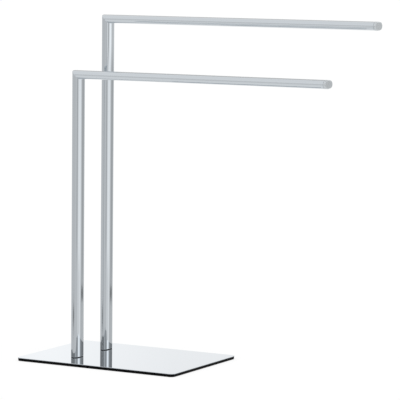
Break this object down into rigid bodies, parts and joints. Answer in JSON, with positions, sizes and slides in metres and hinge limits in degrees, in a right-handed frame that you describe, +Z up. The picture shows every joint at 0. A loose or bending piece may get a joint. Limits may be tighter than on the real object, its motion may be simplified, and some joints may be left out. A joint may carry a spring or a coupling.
{
  "type": "towel stand",
  "caption": "Freestanding towel stand: L-shaped towel arms of different height, in polished oval tube, on a low weighted base plate with a mirror-polished cover.",
  "frame": {"origin": "centre of the base's underside, on the floor", "axes": "+X along the towel rails towards their free ends, +Y from the low front arm to the tall rear arm, +Z up"},
  "size_m": [0.812, 0.3, 0.8],
  "materials": {
    "chrome_tube": "polished chrome plating on steel tube",
    "chrome_cover": "mirror-polished sheet",
    "chrome_cap": "chrome-plated end cap",
    "black_ballast": "black semi-gloss paint on steel plate",
    "mat_rubber": "matt foamed rubber",
    "gasket_rubber": "smooth moulded rubber",
    "plain_steel": "plain machined steel",
    "screw_steel": "zinc-plated screws"
  },
  "bodies": {
    "root": {"base_cover": "chrome_cover", "base_plate": "black_ballast", "base_mat": "mat_rubber", "base_screws": "screw_steel", "front_foot_gasket": "gasket_rubber", "rear_foot_gasket": "gasket_rubber", "front_foot_plug": "plain_steel", "rear_foot_plug": "plain_steel", "front_post": "chrome_tube", "rear_post": "chrome_tube", "front_rail": "chrome_tube", "rear_rail": "chrome_tube", "front_end_cap": "chrome_cap", "rear_end_cap": "chrome_cap"}
  },
  "joints": []
}
